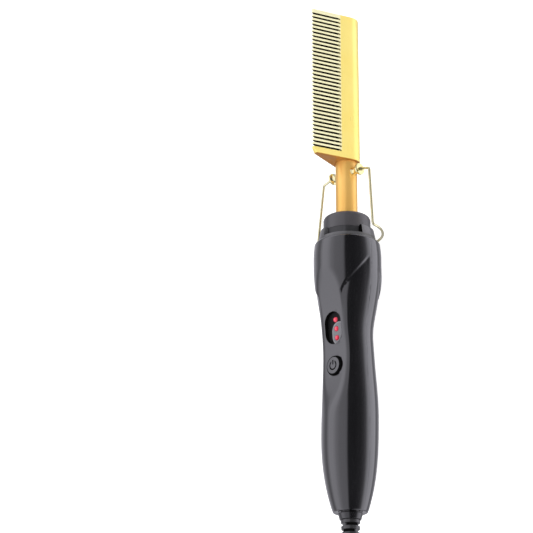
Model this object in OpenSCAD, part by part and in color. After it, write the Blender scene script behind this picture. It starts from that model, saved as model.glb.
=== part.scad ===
// Electric pressing comb: a gold comb head on a heated neck, with a folding wire
// stand, a two-part handle with its control board, and a swivelling mains cord.
// Tool coordinates: x along the tool from the tail face of the handle, z towards
// the teeth, y to the side. placed() moves them to the frame of the part, whose
// origin is on the surface that it lies on, under the middle of its length.

/* [Comb] */
// Length of the comb head
comb_len = 90; // [76:1:104]
// Tool axis to the tooth tips
comb_reach = 26.2; // [23:0.1:30]
// Radius of the round spine
spine_r = 7.9; // [7.6:0.1:9]
// Thickness at the tooth tips
comb_edge_t = 1.4; // [1:0.1:2.4]
// Distance from slot to slot
tooth_pitch = 2.43; // [2.1:0.01:3]
// Width of one slot
slot_w = 1.0; // [0.6:0.05:1.3]
// Depth of the slots from the tooth tips
slot_depth = 17.3; // [10:0.1:18]
// Solid bar at the free end
tip_bar = 2.5; // [2:0.1:5]
// Solid bar at the neck end
heel_bar = 3.7; // [2:0.1:5]
// Chamfer of the heel corner
heel_chamfer = 2.4; // [0.5:0.1:3]

/* [Heater] */
// Diameter of the heating rod
heater_d = 6; // [5:0.1:6.4]
// Length of the heating rod
heater_len = 68; // [40:1:70]
// Depth of the neck socket in the comb
socket_depth = 14; // [10:0.5:18]
// Diameter of the temperature sensor
sensor_d = 1.6; // [1.2:0.1:1.6]
// Length of the temperature sensor
sensor_len = 22; // [12:1:40]
// Diameter of the heater leads
lead_d = 1.4; // [0.8:0.1:1.6]

/* [Neck] */
// Outer diameter of the neck tube
neck_d = 12.3; // [12:0.1:12.8]
// Wall of the neck tube
neck_wall = 0.8; // [0.5:0.1:0.9]
// Bare neck between the collar and the comb
neck_bare = 32.9; // [30:0.1:44]
// Length of neck inside the handle, behind the collar top
neck_inside = 29.1; // [28:0.1:29.9]

/* [Stand] */
// Diameter of the stand wire
wire_d = 1.5; // [1.2:0.1:1.8]
// Distance from the collar top to the stand pivot
pivot_rise = 26.7; // [25:0.1:30]
// Distance between the two knees of the wire
knee_span = 36.8; // [35:0.2:44]
// Distance from the pivot down to the knees
knee_drop = 1.7; // [0.5:0.1:2.5]
// Distance between the two ends of the foot arc
foot_span = 44; // [42:0.2:48]
// Depth of the foot arc behind the legs
foot_depth = 20.8; // [20.4:0.1:21.4]
// Distance from the pivot down to the foot arc
leg_drop = 36.8; // [35.8:0.1:37.2]
// Lean of the folded legs towards the teeth, in degrees
leg_lean = 2.4; // [1.4:0.1:2.8]
// Diameter of the boss rim
boss_rim_d = 6.8; // [5.8:0.1:7.4]
// Diameter of the boss stem
boss_stem_d = 4.2; // [3.4:0.1:5]
// Tool axis to the boss rim face
boss_reach = 11.3; // [10.4:0.1:13]

/* [Collar] */
// Diameter of the collar cap
cap_d = 26.6; // [26:0.1:27]
// Height of the collar cap
cap_h = 9.4; // [8.4:0.1:9.8]
// Corner radius of the collar cap
cap_round = 2.8; // [0.8:0.1:3]
// Diameter of the collar base at its top edge
base_top_d = 29.4; // [29:0.1:30]
// Diameter of the collar base at the handle
base_d = 32.6; // [31.5:0.1:33]
// Height of the collar base lugs
base_h = 9; // [8:0.1:10]
// Height of the lock recess under the cap
recess_h = 6.5; // [5.5:0.1:7]
// Angle taken up by one lock recess
recess_angle = 84; // [50:1:110]
// Width of the stop slit at the end of a recess
slit_w = 0.9; // [0.5:0.1:1.5]

/* [Handle] */
// Tail face to the collar base
handle_len = 153.2; // [152:0.2:156]
// Diameter at the bulb
bulb_d = 38; // [37.6:0.1:38.2]
// Collar base back to the widest part of the bulb
bulb_back = 10.2; // [8.4:0.2:12]
// Diameter at the waist
waist_d = 28.1; // [27.6:0.1:30]
// Collar base back to the waist
waist_back = 57.2; // [54.4:0.2:60]
// Diameter at the belly
belly_d = 31.3; // [30:0.1:33]
// Tail face to the belly
belly_x = 48; // [44:0.5:52]
// Diameter at the tail
tail_d = 18.8; // [18:0.1:21]
// Wall of the two shells
wall = 2; // [1.6:0.1:2.2]
// Tool axis to the lowest point of the hollowed front
front_h = 10.5; // [10.2:0.1:11.2]
// Collar base back to the lowest point of the hollowed front
front_back = 63.2; // [61.2:0.2:65.2]
// Radius of the hollowed front
front_r = 110; // [100:1:140]

/* [Controls] */
// Diameter of the power button
button_d = 10.8; // [9:0.1:11.2]
// Travel of the power button
button_travel = 0.5; // [0.3:0.1:0.6]
// Height of the button above the front
button_proud = 1; // [0.4:0.1:1.4]
// Collar base back to the power button
button_back = 73.2; // [72.2:0.2:74.2]
// Length of the indicator window
window_len = 18.2; // [17:0.1:19]
// Width of the indicator window
window_w = 12.6; // [10:0.1:13]
// Collar base back to the middle of the window
window_back = 51.7; // [51.2:0.1:52.2]
// Distance between indicator lamps
led_pitch = 5.1; // [4.4:0.1:5.4]
// Diameter of an indicator lamp
led_d = 3; // [2:0.1:3.2]

/* [Board] */
// Length of the control board
board_len = 64; // [62:0.5:65]
// Width of the control board
board_w = 17; // [14:0.5:18]
// Thickness of the control board
board_t = 1.6; // [1:0.1:1.8]
// Collar base back to the front end of the board
board_back = 23.2; // [22.8:0.2:23.6]
// Height of the board's underside over the tool axis
board_z = 1.6; // [1.4:0.1:1.8]

/* [Fasteners] */
// Thread diameter of the shell screws
screw_d = 2.4; // [2:0.1:2.6]
// Head diameter of the shell screws
screw_head_d = 4.8; // [4:0.1:5]
// Thread diameter of the board screws
board_screw_d = 2; // [1.6:0.1:2.2]
// Diameter of the comb screw
comb_screw_d = 3; // [2.5:0.1:3.2]

/* [Cord] */
// Diameter of the mains cord
cord_d = 6; // [5:0.1:6]
// Length of the ribbed strain relief
relief_len = 28.2; // [24:0.2:28.2]
// Diameter of the strain relief at the handle
relief_d = 10.6; // [9.6:0.1:11]
// Diameter of the strain relief at its free end
relief_end_d = 8; // [7.6:0.1:9]
// Rib to rib distance of the strain relief
rib_pitch = 3.4; // [3:0.1:4]
// Diameter of the swivel ring at the handle
ring_d = 13.4; // [12.4:0.1:14]
// Length of the visible swivel ring
ring_len = 3.5; // [3:0.1:3.5]
// Length of one plug pin
pin_len = 19; // [18:0.5:19]
// Diameter of one plug pin
pin_d = 4; // [3.9:0.1:4.1]
// Distance between the plug pins
pin_span = 18.6; // [17.5:0.1:19]
// Thickness of the plug
plug_t = 13.7; // [12:0.1:15]
// Width of the plug
plug_w = 35; // [33:0.5:36]
// Length of the plug body
plug_len = 34; // [32:0.5:36]

/* [Hidden] */
$fn = 96;

// Clearances: fixed fit, running fit, loose gap, and the overshoot of a cut
fit = 0.05;
run = 0.08;
gap = 0.3;
eps = 0.1;

// Stations along the tool
cap_top = handle_len + recess_h + cap_h;
pivot_x = cap_top + pivot_rise;
comb_x = cap_top + neck_bare;
comb_end = comb_x + comb_len;
bulb_x = handle_len - bulb_back;
waist_x = handle_len - waist_back;
front_x = handle_len - front_back;
button_x = handle_len - button_back;
window_x = handle_len - window_back;
board_end = handle_len - board_back;
board_x = board_end - board_len;
neck_start = cap_top - neck_inside;
neck_end = comb_x + socket_depth;
neck_r = neck_d / 2;
wire_r = wire_d / 2;
cord_r = cord_d / 2;

// Frame of the part
axis_h = foot_depth * cos(leg_lean) - leg_drop * sin(leg_lean) + wire_r;
relief_start = -gap - ring_len;
mid_x = (comb_end + relief_start - relief_len) / 2;
module placed() { translate([-mid_x, 0, axis_h]) children(); }

// Outline of the handle: each stretch eases from one driving diameter to the next
bulb_ease = 7;
tail_power = 2.55;
shoulder_drop = 0.75;
shoulder_round = 1.7;
step = 4;
function ease(t) = (1 - cos(180 * t)) / 2;
function mix(a, b, t) = a + (b - a) * t;
function handle_r(x) =
    x < belly_x ? belly_d / 2 - (belly_d - tail_d) / 2 * pow(1 - x / belly_x, tail_power)
    : x < waist_x ? mix(belly_d, waist_d, ease((x - belly_x) / (waist_x - belly_x))) / 2
    : x < bulb_x - bulb_ease
        ? mix(waist_d, bulb_d, ease((x - waist_x) / (bulb_x - bulb_ease - waist_x))) / 2
    : x < bulb_x ? bulb_d / 2
    : bulb_d / 2 - shoulder_drop * pow((x - bulb_x) / (handle_len - bulb_x), 2);
shoulder_x = handle_len - shoulder_round;
function outline_x(from, to) = [for (i = [0 : round((to - from) / step)])
    from + (to - from) * i / round((to - from) / step)];
function arc_points(cx, cr, r, a0, a1) = [for (i = [0 : 6])
    let (a = a0 + (a1 - a0) * i / 6) [cx + r * cos(a), cr + r * sin(a)]];

// Swivel, spigot and bush sizes
tail_wall = 2.7;
swivel_neck_r = 5.4;
swivel_flange_r = 7.4;
swivel_flange_t = 1.8;
swivel_spigot_r = 3.2;
swivel_end = 14;
bush_r = 10;
bush_flange_r = 12.4;
bush_flange_t = 3;
cavity_end = handle_len - 4;
spigot_r = cap_d / 2 - 1.4;
spigot_end = handle_len + recess_h;

// Turns a solid of revolution onto the tool axis, its profile being [x, radius]
module revolve_x() { rotate([0, 90, 0]) rotate_extrude() children(); }
// A profile given as [x, radius] points, drawn in the plane that rotate_extrude takes
module profile(points) { polygon([for (p = points) [p[1], p[0]]]); }
function unit(v) = v / norm(v);
// A straight round rod between two points
module rod(a, b, r) {
    d = b - a;
    translate(a) rotate([0, acos(d[2] / norm(d)), atan2(d[1], d[0])])
        cylinder(h = norm(d), r = r, $fn = 32);
}
// A round wire or lead through a list of points, with a slightly fuller joint at each bend
joint_swell = 1.1;
joint_trim = 0.3;
module joint(r) sphere(r = r * joint_swell, $fn = 32);
module wire(points, r, last_joint) {
    last = len(points) - 1;
    function dir(i) = unit(points[i + 1] - points[i]);
    function cut(i) = i < 1 || (i == last && !last_joint) ? 0 : joint_trim * r;
    for (i = [0 : last - 1]) rod(points[i] + cut(i) * dir(i), points[i + 1] - cut(i + 1) * dir(i), r);
    for (i = [1 : last_joint ? last : last - 1]) translate(points[i]) joint(r);
}
module mirrored_y() { children(); mirror([0, 1, 0]) children(); }
// A stadium-shaped plate, long along x
module stadium(length, width, h) {
    run_len = length - width;
    for (s = [-1, 1]) translate([s * run_len / 2, 0, 0]) cylinder(h = h, d = width);
    translate([-run_len / 2, -width / 2, 0]) cube([run_len, width, h]);
}

// ---- Comb head and heater ----
heater_r = heater_d / 2;
heater_x = neck_end - 2;
sensor_r = sensor_d / 2;
sensor_z = neck_r - neck_wall - sensor_r - 0.1;
comb_screw_x = comb_x + 6;
comb_screw_r = comb_screw_d / 2;
tip_corner = [comb_reach, comb_edge_t / 2];
tangent_a = atan2(tip_corner[1], tip_corner[0]) + acos(spine_r / norm(tip_corner));
tangent = spine_r * [cos(tangent_a), sin(tangent_a)];
slots = floor((comb_len - tip_bar - heel_bar - slot_w) / tooth_pitch);

module comb_section() {
    circle(r = spine_r);
    polygon([[0, 0], [tangent[0], -tangent[1]], [tip_corner[0], -tip_corner[1]], tip_corner,
        tangent]);
}
module comb_head() color("goldenrod") placed() difference() {
    translate([comb_x, 0, 0]) rotate([0, 90, 0]) mirror([1, 0, 0])
        linear_extrude(height = comb_len) comb_section();
    for (k = [0 : slots])
        translate([comb_end - tip_bar - slot_w - k * tooth_pitch, -spine_r, comb_reach - slot_depth])
            cube([slot_w, 2 * spine_r, slot_depth + eps]);
    translate([comb_x, 0, comb_reach]) rotate([0, 45, 0])
        cube([heel_chamfer * sqrt(2), 2 * spine_r, heel_chamfer * sqrt(2)], center = true);
    translate([comb_x - eps, 0, 0]) rotate([0, 90, 0])
        cylinder(h = socket_depth + eps, r = neck_r + fit);
    translate([comb_x, 0, 0]) rotate([0, 90, 0])
        cylinder(h = heater_x + heater_len + 1 - comb_x, r = heater_r + fit);
    translate([comb_x, 0, sensor_z]) rotate([0, 90, 0])
        cylinder(h = socket_depth + sensor_len + 1, r = sensor_r + fit, $fn = 32);
    translate([comb_screw_x, 0, -spine_r - eps])
        cylinder(h = spine_r, r = comb_screw_r + fit, $fn = 32);
}
module heater_rod() color("gainsboro") placed()
    translate([heater_x, 0, 0]) rotate([0, 90, 0]) cylinder(h = heater_len, r = heater_r);
module temperature_sensor() color("sienna") placed()
    translate([neck_end, 0, sensor_z]) rotate([0, 90, 0])
        cylinder(h = sensor_len, r = sensor_r, $fn = 32);

// The leads pass through the neck and part around the front screw boss
lead_r = lead_d / 2;
lead_y = 4.2;
lead_mid = 1.5;
lead_bend_x = neck_start + 10;
board_top = board_z + board_t;
module heater_leads() color("ivory") placed() for (s = [-1, 1])
    wire([[heater_x, s * lead_mid, 0.8], [lead_bend_x, s * lead_mid, 0.8],
        [neck_start - 1, s * lead_y, 0.8], [board_end - 3, s * lead_y, board_z - lead_r]], lead_r, false);
sensor_lead_r = 0.5;
module sensor_lead() color("orange") placed()
    wire([[neck_end, 0, sensor_z], [lead_bend_x + 2, 0, sensor_z], [lead_bend_x - 4, 0.8, 2.6],
        [neck_start - 1.5, lead_y, 2.9], [board_end - 3, lead_y, board_top + sensor_lead_r]],
        sensor_lead_r, false);
module comb_screw() color("dimgray") placed() difference() {
    translate([comb_screw_x, 0, 0.2 - spine_r]) cylinder(h = 2.9, r = comb_screw_r, $fn = 32);
    translate([comb_screw_x, 0, 0.1 - spine_r]) cylinder(h = 1.3, r = comb_screw_r / 2, $fn = 6);
}

// ---- Neck ----
module neck_tube() color("goldenrod") placed() difference() {
    translate([neck_start, 0, 0]) rotate([0, 90, 0])
        cylinder(h = neck_end - neck_start, r = neck_r);
    translate([neck_start - eps, 0, 0]) rotate([0, 90, 0])
        cylinder(h = neck_end - neck_start + 2 * eps, r = neck_r - neck_wall);
    translate([comb_screw_x, 0, -neck_r - eps])
        cylinder(h = neck_r, r = comb_screw_r + fit, $fn = 32);
}
clip_t = 1.2;
bush_start = cavity_end - bush_flange_t;
module neck_clip() color("silver") placed() difference() {
    translate([bush_start - clip_t, 0, 0]) rotate([0, 90, 0]) cylinder(h = clip_t, r = neck_r + 2.6);
    translate([bush_start - clip_t - eps, 0, 0]) rotate([0, 90, 0])
        cylinder(h = clip_t + 2 * eps, r = neck_r + fit);
}
bush_end = cap_top - 2;
module neck_bush() color("ivory") placed() difference() {
    union() {
        translate([bush_start, 0, 0]) rotate([0, 90, 0])
            cylinder(h = bush_flange_t, r = bush_flange_r);
        translate([bush_start, 0, 0]) rotate([0, 90, 0])
            cylinder(h = bush_end - bush_start, r = bush_r);
    }
    translate([bush_start - eps, 0, 0]) rotate([0, 90, 0])
        cylinder(h = bush_end - bush_start + 2 * eps, r = neck_r + fit);
}

// ---- Stand ----
boss_hole = 4;
module boss() difference() {
    rotate([-90, 0, 0]) rotate_extrude() polygon([[0, neck_r - 0.4], [boss_stem_d / 2, neck_r - 0.4],
        [boss_stem_d / 2, boss_reach - 1.8], [boss_rim_d / 2, boss_reach - 0.8],
        [boss_rim_d / 2, boss_reach], [0, boss_reach]]);
    rotate([0, 90, 0]) cylinder(h = 2 * neck_r, r = neck_r + fit, center = true);
    translate([0, boss_reach + eps, 0]) rotate([90, 0, 0])
        cylinder(h = boss_hole + eps, r = wire_r + run, $fn = 32);
}
module stand_bosses() color("khaki") placed()
    translate([pivot_x, 0, 0]) mirrored_y() boss();
foot_half = foot_span / 2;
foot_r = (pow(foot_half, 2) + pow(foot_depth, 2)) / (2 * foot_depth);
foot_turn = asin(foot_half / foot_r) - asin(joint_trim * wire_r / foot_r);
module wire_stand() color("palegoldenrod") placed()
    translate([pivot_x, 0, 0]) rotate([0, leg_lean, 0]) {
        mirrored_y() wire([[0, boss_reach - boss_hole + gap, 0], [0, boss_reach + 1, 0],
            [-knee_drop, knee_span / 2, 0], [-leg_drop, foot_half, 0]], wire_r, true);
        translate([-leg_drop, 0, foot_r - foot_depth]) rotate([0, 90, 0])
            rotate_extrude(angle = 2 * foot_turn, start = -foot_turn)
                translate([foot_r, 0]) circle(r = wire_r, $fn = 32);
    }

// ---- Collar ----
module collar_cap() color("dimgray") placed() difference() {
    revolve_x() profile(concat([[spigot_end + fit, bush_r + fit], [spigot_end + fit, cap_d / 2]],
        arc_points(cap_top - cap_round, cap_d / 2 - cap_round, cap_round, 90, 0),
        [[cap_top, neck_r + gap], [bush_end + fit, neck_r + gap], [bush_end + fit, bush_r + fit]]));
}
base_top = handle_len + base_h;
recess_mid = 33;
module sector(from, to, r, h) rotate_extrude(angle = to - from, start = from) square([r, h]);
module collar_base() color("dimgray") placed() difference() {
    revolve_x() profile([[handle_len + fit, spigot_r + fit], [handle_len + fit, base_d / 2],
        [handle_len + 1, base_d / 2], [base_top, base_top_d / 2], [base_top, cap_d / 2 + fit],
        [spigot_end, cap_d / 2 + fit], [spigot_end, spigot_r + fit]]);
    for (turn = [0, 180]) rotate([turn, 0, 0]) difference() {
        translate([handle_len + 1, 0, 0]) rotate([0, 90, 0])
            sector(180 + recess_mid - recess_angle / 2, 180 + recess_mid + recess_angle / 2,
                base_d, base_h);
        translate([handle_len, 0, 0]) rotate([0, 90, 0])
            cylinder(h = base_h + 2, r = cap_d / 2 - fit);
    }
    for (turn = [0, 180]) rotate([turn - recess_mid - recess_angle / 2, 0, 0])
        translate([handle_len + 1, -slit_w, cap_d / 2 - 1])
            cube([base_h, slit_w, base_d]);
}

// ---- Handle shells ----
module handle_outside() difference() {
    revolve_x() profile(concat([[0, 0], [0, tail_d / 2 - 0.5], [0.5, tail_d / 2]],
        [for (x = outline_x(2, shoulder_x)) [x, handle_r(x)]],
        arc_points(shoulder_x, handle_r(shoulder_x) - shoulder_round, shoulder_round, 80, 0),
        [[handle_len, spigot_r], [spigot_end, spigot_r], [spigot_end, 0]]));
    front_scoop(front_r);
}
module front_scoop(r) translate([front_x, 0, front_h + front_r]) rotate([90, 0, 0])
    cylinder(h = 2 * bulb_d, r = r, center = true, $fn = 180);
module handle_inside() {
    difference() {
        revolve_x() profile(concat([[tail_wall, 0], [tail_wall, handle_r(tail_wall) - wall]],
            [for (x = outline_x(tail_wall + 1, cavity_end)) [x, handle_r(x) - wall]],
            [[cavity_end, 0]]));
        front_scoop(front_r + wall);
    }
    translate([cavity_end - eps, 0, 0]) rotate([0, 90, 0])
        cylinder(h = spigot_end - cavity_end + 2 * eps, r = bush_r + fit);
    translate([-eps, 0, 0]) rotate([0, 90, 0])
        cylinder(h = tail_wall + 2 * eps, r = swivel_neck_r + run);
}
module above() translate([-eps, -bulb_d, 0]) cube([handle_len + 20, 2 * bulb_d, bulb_d]);
module below() mirror([0, 0, 1]) above();

// Bosses: three for the shell screws, two for the board
shell_screw_x = [34, board_x - 8, board_end + 4];
screw_boss_r = 3;
screw_seat = 8;
screw_bite = 5.5;
screw_head_h = 1.9;
screw_cross_w = 0.6;
board_screw_x = [board_x + 3.5, board_end - 4];
board_screw_r = board_screw_d / 2;
screw_r = screw_d / 2;
split_h = -1;
function front_z(x) = front_h + front_r - sqrt(pow(front_r, 2) - pow(x - front_x, 2));
button_top = front_z(button_x);
button_hole_r = button_d / 2 + gap;
module front_shell() color("#222326") placed() difference() {
    union() {
        intersection() {
            difference() {
                handle_outside();
                handle_inside();
            }
            above();
        }
        intersection() {
            handle_outside();
            union() {
                for (x = shell_screw_x) translate([x, 0, 0]) cylinder(h = bulb_d, r = screw_boss_r);
                for (x = board_screw_x)
                    translate([x, 0, board_top]) cylinder(h = bulb_d, r = screw_boss_r - 0.4);
            }
        }
    }
    for (x = shell_screw_x) translate([x, 0, -eps])
        cylinder(h = screw_bite + 1, r = screw_r + fit, $fn = 32);
    for (x = board_screw_x) translate([x, 0, board_top - eps])
        cylinder(h = 4.2, r = board_screw_r + fit, $fn = 32);
    translate([button_x, 0, board_top]) cylinder(h = bulb_d, r = button_hole_r);
    translate([window_x, 0, board_top]) stadium(window_len, window_w, bulb_d);
}
module rear_shell() color("#222326") placed() difference() {
    union() {
        intersection() {
            difference() {
                handle_outside();
                handle_inside();
            }
            below();
        }
        intersection() {
            handle_outside();
            for (x = shell_screw_x) translate([x, 0, -bulb_d])
                cylinder(h = bulb_d - 0.1, r = screw_boss_r + 0.6);
        }
    }
    for (x = shell_screw_x) {
        translate([x, 0, -bulb_d]) cylinder(h = bulb_d - screw_seat, d = screw_head_d + 0.4);
        translate([x, 0, -screw_seat - eps]) cylinder(h = screw_seat + 1, r = screw_r + 0.2, $fn = 32);
    }
}
module shell_screws() color("dimgray") placed() for (x = shell_screw_x) difference() {
    union() {
        translate([x, 0, -screw_seat]) cylinder(h = screw_seat + screw_bite, r = screw_r, $fn = 32);
        translate([x, 0, -screw_seat - screw_head_h]) cylinder(h = screw_head_h, d = screw_head_d);
    }
    for (turn = [0, 90]) translate([x, 0, -screw_seat - screw_head_h]) rotate([0, 0, turn])
        cube([screw_head_d - 2, screw_cross_w, screw_head_h - 0.1], center = true);
}

// ---- Controls ----
lens_t = 1.2;
lens_lip = 1.6;
module window_lens() color("#141416") placed() difference() {
    intersection() {
        translate([window_x, 0, board_top])
            stadium(window_len + lens_lip, window_w + lens_lip, bulb_d);
        front_scoop(front_r + wall + fit + lens_t);
    }
    front_scoop(front_r + wall + fit);
    for (i = [-1 : 1]) translate([window_x + i * led_pitch, 0, 0])
        cylinder(h = bulb_d, r = led_d / 2 + fit, $fn = 32);
}
led_h = 5.3;
led_sunk = 0.9;
function led_foot(x) = front_z(x) - led_sunk - led_h;
module led(i) color("red") placed() {
    x = window_x + i * led_pitch;
    translate([x, 0, led_foot(x) + led_h - led_d / 2]) sphere(d = led_d, $fn = 32);
    translate([x, 0, led_foot(x)]) cylinder(h = led_h - led_d / 2, d = led_d, $fn = 32);
    for (s = [-1, 1]) translate([x, s * 0.8, board_top])
        cylinder(h = led_foot(x) - board_top + eps, r = 0.25, $fn = 16);
}
module led_1() led(-1);
module led_2() led(0);
module led_3() led(1);
button_flange_t = 0.8;
button_flange_z = front_h - wall - gap - button_flange_t;
module power_button() color("#2b2c30") placed() translate([button_x, 0, 0]) difference() {
    union() {
        translate([0, 0, button_flange_z]) cylinder(h = button_flange_t, r = button_hole_r + 0.7);
        rotate_extrude() polygon([[0, button_flange_z], [button_d / 2, button_flange_z],
            [button_d / 2, button_top + button_proud - 0.5],
            [button_d / 2 - 0.5, button_top + button_proud], [0, button_top + button_proud]]);
    }
    translate([0, 0, button_top + button_proud - 0.3]) {
        rotate_extrude(angle = 300, start = 30) translate([1.9, 0]) square([0.6, 1]);
        translate([0.4, -0.3, 0]) cube([2.4, 0.6, 1]);
    }
}
switch_w = 6;
plunger_gap = button_travel + 0.1;
switch_top = button_flange_z - plunger_gap;
module button_switch() color("#3a3a3a") placed() translate([button_x, 0, 0]) {
    translate([-switch_w / 2, -switch_w / 2, board_top])
        cube([switch_w, switch_w, switch_top - board_top - 0.4]);
    translate([0, 0, board_top]) cylinder(h = switch_top - board_top, r = 1.7);
}

// ---- Board ----
module control_board() color("darkgreen") placed() difference() {
    translate([board_x, -board_w / 2, board_z]) cube([board_len, board_w, board_t]);
    for (x = board_screw_x) translate([x, 0, board_z - eps])
        cylinder(h = board_t + 2 * eps, r = board_screw_r + 0.1, $fn = 32);
}
module board_screws() color("silver") placed() for (x = board_screw_x) {
    translate([x, 0, board_z - 1.2]) cylinder(h = 1.2, r = board_screw_r + 0.9, $fn = 32);
    translate([x, 0, board_z - 0.2]) cylinder(h = board_t + 4, r = board_screw_r, $fn = 32);
}
module triac() color("#18181a") placed() translate([board_end - 13, -5, board_z - 4.4]) {
    cube([6, 10, 4.4]);
    translate([-6, 0, 0]) cube([7, 10, 1.2]);
}
cap_body_d = 7;
module capacitor() color("royalblue") placed()
    translate([board_x + 8, 0, board_z - cap_body_d / 2]) rotate([0, 90, 0])
        cylinder(h = 13, d = cap_body_d);
module controller_chip() color("#18181a") placed()
    translate([board_end - 16, -2, board_top]) cube([6, 4, 1.5]);
fuse_d = 2.6;
module thermal_fuse() color("tan") placed()
    translate([board_x + 26, 5, board_z - fuse_d / 2]) rotate([0, 90, 0])
        cylinder(h = 9, d = fuse_d, $fn = 48);

// ---- Tail ----
block_x = swivel_end + 0.4;
block_t = 5;
block_r = handle_r(block_x) - wall - 0.25;
mains_y = 5.6;
module mains_leads() color("saddlebrown") placed() for (s = [-1, 1])
    rod([block_x + block_t, s * mains_y, board_z - lead_r],
        [board_x + 6, s * mains_y, board_z - lead_r], lead_r);
module contact_block() color("ivory") placed()
    translate([block_x, 0, 0]) rotate([0, 90, 0]) cylinder(h = block_t, r = block_r);
ring_r = 4.2;
spring_t = 0.4;
slip_x = [6.5, 10.5];
slip_w = 2;
module contact_springs() color("goldenrod") placed() for (i = [0, 1]) mirror([0, i, 0]) {
    translate([slip_x[i], ring_r + gap, -1.2])
        cube([block_x - slip_x[i], spring_t, 2.4]);
}
module slip_rings() color("gold") placed() for (x = slip_x) difference() {
    translate([x, 0, 0]) rotate([0, 90, 0]) cylinder(h = slip_w, r = ring_r);
    translate([x - eps, 0, 0]) rotate([0, 90, 0])
        cylinder(h = slip_w + 2 * eps, r = swivel_spigot_r + fit);
}
flange_x = tail_wall + 0.1;
cord_seat = 3.5;
module swivel_body() color("#2b2c30") placed() difference() {
    revolve_x() profile([[relief_start, 0], [relief_start, ring_d / 2 - 0.8],
        [-gap, ring_d / 2], [-gap, swivel_neck_r], [flange_x, swivel_neck_r],
        [flange_x, swivel_flange_r], [flange_x + swivel_flange_t, swivel_flange_r],
        [flange_x + swivel_flange_t, swivel_spigot_r], [swivel_end, swivel_spigot_r],
        [swivel_end, 0]]);
    translate([relief_start - eps, 0, 0]) rotate([0, 90, 0])
        cylinder(h = cord_seat - relief_start + eps, r = cord_r + fit);
}
rib_w = 2;
rib_web = 1.6;
ribs = floor((relief_len - rib_w) / rib_pitch);
relief_end = relief_start - relief_len;
module strain_relief() color("#1d1d20") placed() difference() {
    translate([relief_end, 0, 0]) rotate([0, 90, 0])
        cylinder(h = relief_len, r1 = relief_end_d / 2, r2 = relief_d / 2);
    for (k = [0 : ribs - 1]) translate([relief_start - rib_w - k * rib_pitch, 0, 0])
        rotate([90 * (k % 2), 0, 0]) for (s = [-1, 1])
            translate([-(rib_pitch - rib_w) / 2, s * (relief_d / 2 + rib_web / 2), 0])
                cube([rib_pitch - rib_w, relief_d, relief_d + 2], center = true);
    translate([relief_end - eps, 0, 0]) rotate([0, 90, 0])
        cylinder(h = relief_len + 2 * eps, r = cord_r + fit);
}

// ---- Cord: points in the frame of the tool, down into the hank's lowest layer and off its top ----
cord_route = [[3, 0, 0], [-16, 0, 0], [-32, 0, 0], [-40, 0.3, -0.7], [-48, 1.4, -3],
    [-56, 3.5, -6.8], [-64, 6.4, -10.8], [-72, 9.8, -14], [-80, 13, -15.9], [-87, 15.6, -16.28],
    [-95, 17.8, -16.28], [-102, 18.6, -16.28], [-112, 18.6, -16.28]];
cord_tail = [[-214, 18.6, 8.52], [-222, 18.6, 8.52], [-230, 18.6, 8.4], [-238, 18.3, 7.6],
    [-246, 17.2, 5.2], [-254, 15.2, 1.2], [-262, 12.4, -4.2], [-269, 9.6, -8.6],
    [-276, 7, -11.6], [-283, 5, -12.9], [-290, 4.1, -13.14], [-305.5, 4, -13.14]];
cord_sides = 8;
function route_dir(route, i) =
    unit(route[min(i + 1, len(route) - 1)] - route[max(i - 1, 0)]);
function ring_point(route, i, a) = let (d = route_dir(route, i), side = unit(cross([0, 0, 1], d)),
    up = cross(d, side)) route[i] + cord_r * (side * cos(a) + up * sin(a));
module cord_tube(route) {
    n = len(route);
    polyhedron(points = [for (i = [0 : n - 1], k = [0 : cord_sides - 1])
            ring_point(route, i, 360 * k / cord_sides)],
        faces = concat([[for (k = [0 : cord_sides - 1]) k]],
            [[for (k = [cord_sides - 1 : -1 : 0]) (n - 1) * cord_sides + k]],
            [for (i = [0 : n - 2], k = [0 : cord_sides - 1])
                [i * cord_sides + k, (i + 1) * cord_sides + k,
                (i + 1) * cord_sides + (k + 1) % cord_sides, i * cord_sides + (k + 1) % cord_sides]]));
}
module power_cord() color("#1d1d20") placed() {
    cord_tube(cord_route);
    cord_tube(cord_tail);
}
hank_near_x = -102;
hank_run = 120;
hank_r = 21.7;
hank_eye_r = 15.5;
hank_lift = 0.7;
hank_h = 31;
module cord_hank() color("#1d1d20") placed()
    translate([hank_near_x - hank_run / 2, 0, hank_lift - axis_h]) difference() {
        stadium(hank_run + 2 * hank_r, 2 * hank_r, hank_h);
        translate([0, 0, -eps]) stadium(hank_run + 2 * hank_eye_r, 2 * hank_eye_r, hank_h + 2 * eps);
    }
tie_w = 14;
tie_t = 0.6;
module hank_tie() color("#303036") placed()
    translate([hank_near_x - hank_run / 2, 0, hank_lift + hank_h / 2 - axis_h]) difference() {
        cube([tie_w, 2 * (hank_r + tie_t) + 0.1, hank_h + 2 * tie_t + 0.1], center = true);
        cube([tie_w + 1, 2 * hank_r + 0.1, hank_h + 0.1], center = true);
    }
plug_x = -303.5;
plug_y = 4;
plug_tail = 14;
pin_root = 8;
pin_root_r = pin_d / 2 + 0.4;
module plug_place() placed() translate([plug_x, plug_y, plug_t / 2 - axis_h])
    rotate([0, 0, 180]) children();
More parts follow.
